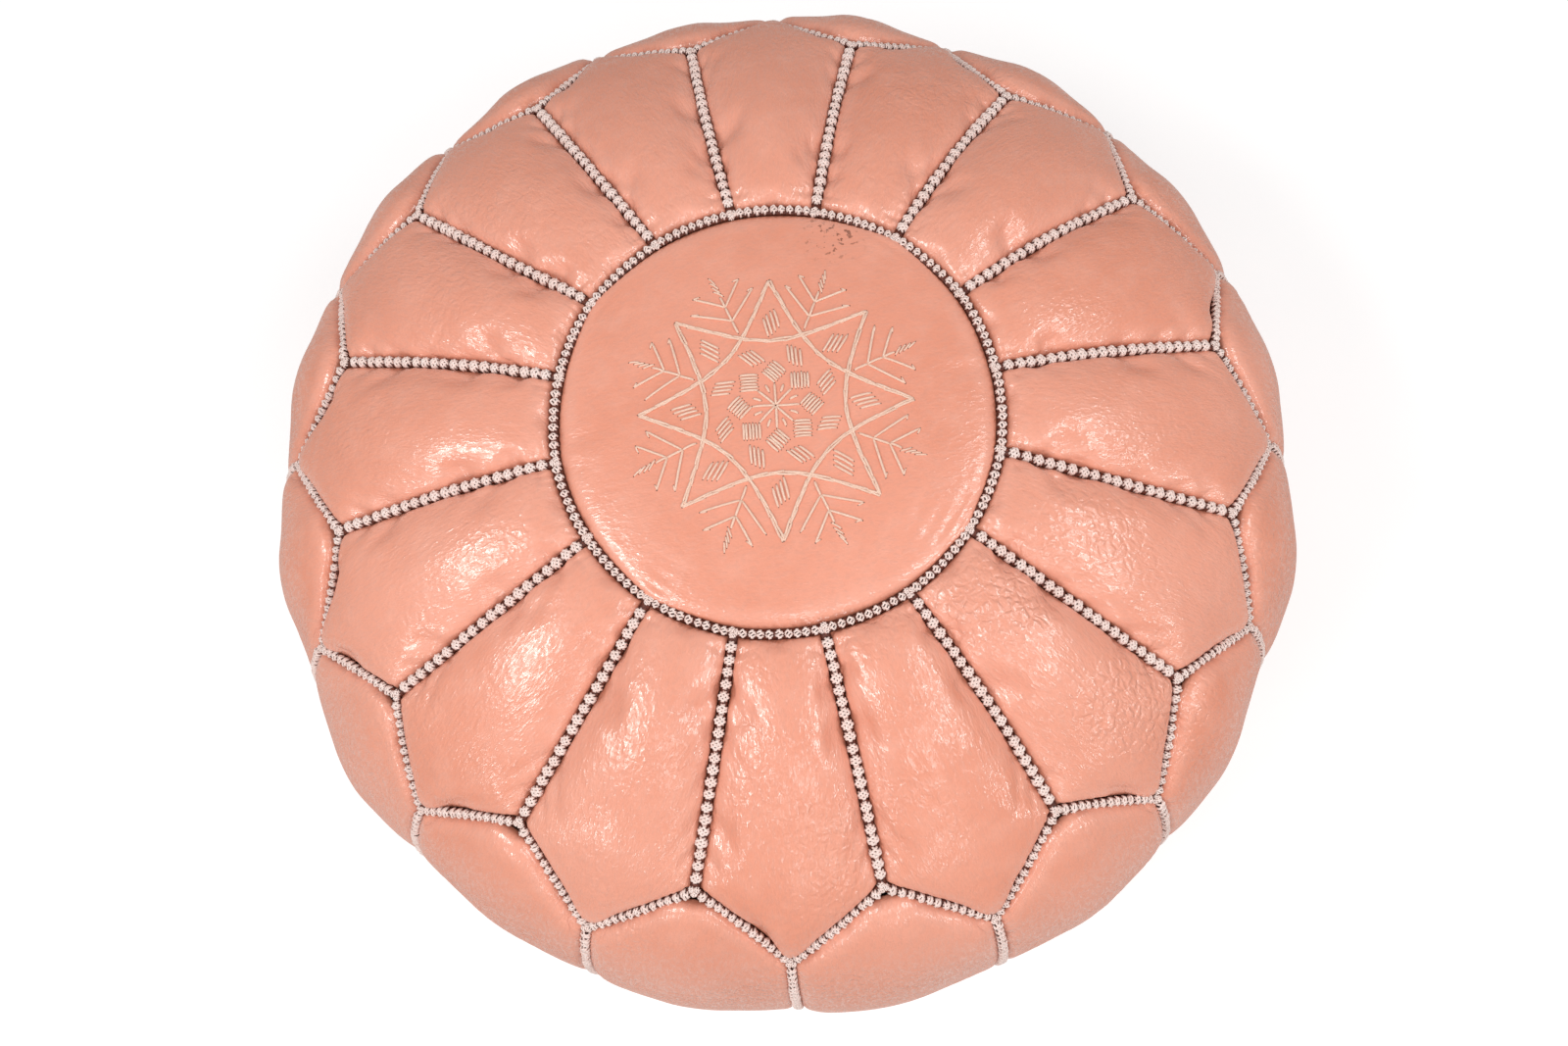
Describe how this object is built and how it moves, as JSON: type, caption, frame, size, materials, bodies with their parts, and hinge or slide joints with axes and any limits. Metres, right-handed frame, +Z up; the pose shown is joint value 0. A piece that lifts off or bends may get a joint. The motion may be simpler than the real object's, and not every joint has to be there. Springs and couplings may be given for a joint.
{
  "type": "leather pouf",
  "caption": "Low round stuffed leather seat with petal panels, raised thread seams, an embroidered top medallion and a zipped base.",
  "frame": {"origin": "middle of the base, at the height of the floor", "axes": "+Z up; +X along the zip, towards its closed end; +Y towards the left base half"},
  "size_m": [0.527, 0.527, 0.3115],
  "materials": {
    "cover_leather": "salmon tan goat leather, satin gloss, fine grain",
    "base_leather": "salmon tan goat leather, duller than the cover",
    "seam_thread": "pale beige silky thread, laid in bundles over the seams",
    "embroidery_thread": "pale beige silky thread, single strands",
    "stuffing": "loose cotton wadding",
    "zip_tape": "brown woven tape",
    "zip_metal": "aged brass"
  },
  "bodies": {
    "cover": {"medallion": "cover_leather", "petal_01": "cover_leather", "petal_02": "cover_leather", "petal_03": "cover_leather", "petal_04": "cover_leather", "petal_05": "cover_leather", "petal_06": "cover_leather", "petal_07": "cover_leather", "petal_08": "cover_leather", "petal_09": "cover_leather", "petal_10": "cover_leather", "petal_11": "cover_leather", "petal_12": "cover_leather", "petal_13": "cover_leather", "petal_14": "cover_leather", "petal_15": "cover_leather", "petal_16": "cover_leather", "side_panel_01": "cover_leather", "side_panel_02": "cover_leather", "side_panel_03": "cover_leather", "side_panel_04": "cover_leather", "side_panel_05": "cover_leather", "side_panel_06": "cover_leather", "side_panel_07": "cover_leather", "side_panel_08": "cover_leather", "side_panel_09": "cover_leather", "side_panel_10": "cover_leather", "side_panel_11": "cover_leather", "side_panel_12": "cover_leather", "side_panel_13": "cover_leather", "side_panel_14": "cover_leather", "side_panel_15": "cover_leather", "side_panel_16": "cover_leather", "base_panel_left": "base_leather", "base_panel_right": "base_leather", "stuffing": "stuffing", "medallion_seam": "seam_thread", "petal_seams": "seam_thread", "zigzag_seams": "seam_thread", "side_seams": "seam_thread", "base_seam": "seam_thread", "embroidery": "embroidery_thread", "zip_tape_left": "zip_tape", "zip_tape_right": "zip_tape", "zip_teeth_left": "zip_metal", "zip_teeth_right": "zip_metal", "zip_stops": "zip_metal"},
    "slider": {"zip_slider": "zip_metal"},
    "pull": {"zip_pull": "zip_metal"}
  },
  "joints": [
    {"name": "zip_slide", "type": "slide", "parent": "cover", "child": "slider", "axis": [-1, 0, 0], "range_m": [0, 0.282]},
    {"name": "pull_swing", "type": "hinge", "parent": "slider", "child": "pull", "pos_m": [0.1425, 0, 0.00485], "axis": [0, -1, 0], "range_deg": [0, 180]}
  ]
}
